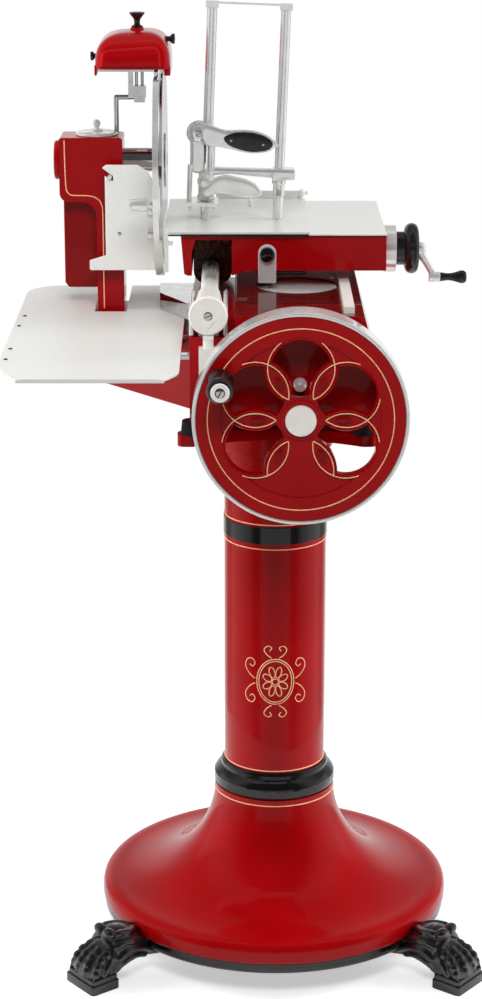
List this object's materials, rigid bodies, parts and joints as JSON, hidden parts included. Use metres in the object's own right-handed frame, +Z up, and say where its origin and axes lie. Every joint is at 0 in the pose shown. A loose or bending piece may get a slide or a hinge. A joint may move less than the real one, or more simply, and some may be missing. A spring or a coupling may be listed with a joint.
{
  "type": "hand crank meat slicer on pedestal",
  "caption": "Antique-style flywheel meat slicer with a hand crank, round blade, sliding carriage and meat press, on a round cast pedestal with lion-paw feet.",
  "frame": {"origin": "centre of the bounding box on the floor, under the pedestal", "axes": "+Z up; +X from the blade towards the carriage; +Y from the flywheel towards the rear of the machine"},
  "size_m": [0.7414, 0.772, 1.5021],
  "materials": {
    "red_enamel": "gloss enamel",
    "black_enamel": "gloss enamel",
    "chrome": "polished",
    "steel": "fine brushed",
    "dark_steel": "oiled",
    "black_grip": "gloss",
    "rubber": "matt",
    "bronze": "plain",
    "stone": "abrasive grit"
  },
  "bodies": {
    "stand": {"pedestal_bell": "red_enamel", "column": "red_enamel", "pedestal_head": "red_enamel", "machine_base": "red_enamel", "column_collars": "black_enamel", "lion_paws": "black_enamel", "base_ring": "black_enamel", "tie_rod": "dark_steel", "rubber_feet": "rubber", "shaft_bushes": "bronze", "drive_chain": "dark_steel", "casing": "red_enamel", "casing_rear_cover": "red_enamel", "bearing_housing": "chrome", "shaft_cap": "red_enamel", "guard_ring": "chrome", "deflector_plate": "steel", "deflector_posts": "chrome", "sharpener_bracket": "chrome", "sharpener_arm": "chrome", "grinding_stones": "stone", "slide_rod": "chrome", "rod_supports": "chrome", "tray_brackets": "chrome"},
    "flywheel": {"flywheel": "red_enamel", "flywheel_rim": "chrome", "hub_cap": "chrome", "handle_pin": "chrome", "main_shaft": "dark_steel"},
    "handle": {"crank_handle": "black_grip"},
    "crank": {"crank_shaft": "dark_steel"},
    "link": {"connecting_rod": "dark_steel"},
    "cross": {"cross_shaft": "dark_steel"},
    "knife": {"blade": "steel", "blade_shaft": "steel", "upper_sprocket": "dark_steel"},
    "carriage": {"carriage_body": "red_enamel", "carriage_bushes": "bronze", "carriage_deck": "steel", "scale_drum": "chrome", "latch_plate": "chrome"},
    "roller": {"guide_roller": "steel"},
    "latch": {"latch_knob": "black_grip"},
    "screw": {"feed_screw": "dark_steel", "dial_wheel": "black_grip", "feed_crank": "chrome"},
    "grip": {"feed_grip": "black_grip"},
    "table": {"meat_table": "steel", "press_frame": "chrome"},
    "press": {"press_body": "chrome", "press_foot": "chrome"},
    "lever": {"press_lever": "chrome", "lever_grips": "black_grip"},
    "leaf": {"leaf_lever": "chrome"},
    "tray": {"slice_tray": "steel"},
    "hood": {"sharpener_hood": "red_enamel", "side_knobs": "black_grip"},
    "stone_knob": {"stone_knob_top": "black_grip"},
    "oil_cap": {"oil_cap": "chrome"},
    "guard_knob": {"guard_knob": "black_grip"}
  },
  "joints": [
    {"name": "flywheel_spin", "type": "hinge", "parent": "stand", "child": "flywheel", "pos_m": [0.072, -0.308, 0.932], "axis": [0, 1, 0], "continuous": true},
    {"name": "handle_spin", "type": "hinge", "parent": "flywheel", "child": "handle", "pos_m": [-0.04561, -0.308, 0.99193], "axis": [0, 1, 0], "continuous": true},
    {"name": "crank_spin", "type": "hinge", "parent": "stand", "child": "crank", "pos_m": [0.072, -0.006, 0.932], "axis": [0, 0, 1], "continuous": true},
    {"name": "rod_swing", "type": "hinge", "parent": "crank", "child": "link", "pos_m": [0.022, -0.006, 1.072], "axis": [0, 0, 1], "continuous": true},
    {"name": "cross_spin", "type": "hinge", "parent": "stand", "child": "cross", "pos_m": [-0.227, 0.129, 0.932], "axis": [1, 0, 0], "continuous": true},
    {"name": "blade_spin", "type": "hinge", "parent": "stand", "child": "knife", "pos_m": [-0.137, 0.129, 1.248], "axis": [1, 0, 0], "continuous": true},
    {"name": "carriage_slide", "type": "slide", "parent": "stand", "child": "carriage", "axis": [0, 1, 0], "range_m": [-0.21, 0.09]},
    {"name": "roller_spin", "type": "hinge", "parent": "carriage", "child": "roller", "pos_m": [0.137, 0.121, 1.094], "axis": [1, 0, 0], "range_deg": [-436, 1009]},
    {"name": "latch_turn", "type": "hinge", "parent": "carriage", "child": "latch", "pos_m": [0.025, -0.034, 1.125], "axis": [0, 1, 0], "range_deg": [0, 90]},
    {"name": "screw_turn", "type": "hinge", "parent": "carriage", "child": "screw", "pos_m": [0.21, 0.054, 1.119], "axis": [1, 0, 0], "range_deg": [-2, 3390]},
    {"name": "grip_spin", "type": "hinge", "parent": "screw", "child": "grip", "pos_m": [0.282, 0.054, 1.073], "axis": [1, 0, 0], "continuous": true},
    {"name": "table_slide", "type": "slide", "parent": "carriage", "child": "table", "axis": [1, 0, 0], "range_m": [0, 0.094]},
    {"name": "press_slide", "type": "slide", "parent": "table", "child": "press", "axis": [0.0384, 0, 0.9993], "range_m": [-0.01, 0.16]},
    {"name": "lever_lift", "type": "hinge", "parent": "press", "child": "lever", "pos_m": [-0.07402, 0.068, 1.29014], "axis": [0, -1, 0], "range_deg": [0, 35]},
    {"name": "leaf_lift", "type": "hinge", "parent": "press", "child": "leaf", "pos_m": [-0.06902, 0.063, 1.21189], "axis": [0, -1, 0], "range_deg": [0, 20]},
    {"name": "tray_slide", "type": "slide", "parent": "stand", "child": "tray", "axis": [0, -1, 0], "range_m": [0, 0.2]},
    {"name": "hood_lift", "type": "slide", "parent": "stand", "child": "hood", "axis": [0, 0, 1], "range_m": [0, 0.06]},
    {"name": "stone_knob_turn", "type": "hinge", "parent": "hood", "child": "stone_knob", "pos_m": [-0.18, 0.129, 1.452], "axis": [0, 0, 1], "continuous": true},
    {"name": "oil_cap_lift", "type": "slide", "parent": "stand", "child": "oil_cap", "axis": [0, 0, 1], "range_m": [0, 0.03]},
    {"name": "guard_knob_turn", "type": "hinge", "parent": "stand", "child": "guard_knob", "pos_m": [-0.159, -0.033, 1.203], "axis": [1, 0, 0], "continuous": true}
  ],
  "couplings": [
    {"joint": "crank_spin", "follows": "flywheel_spin", "ratio": 1},
    {"joint": "rod_swing", "follows": "flywheel_spin", "ratio": -1},
    {"joint": "cross_spin", "follows": "flywheel_spin", "ratio": -1},
    {"joint": "blade_spin", "follows": "flywheel_spin", "ratio": -1.6667},
    {"joint": "roller_spin", "follows": "carriage_slide", "rad_per_m": -83.333},
    {"joint": "screw_turn", "follows": "table_slide", "rad_per_m": 628.32}
  ]
}
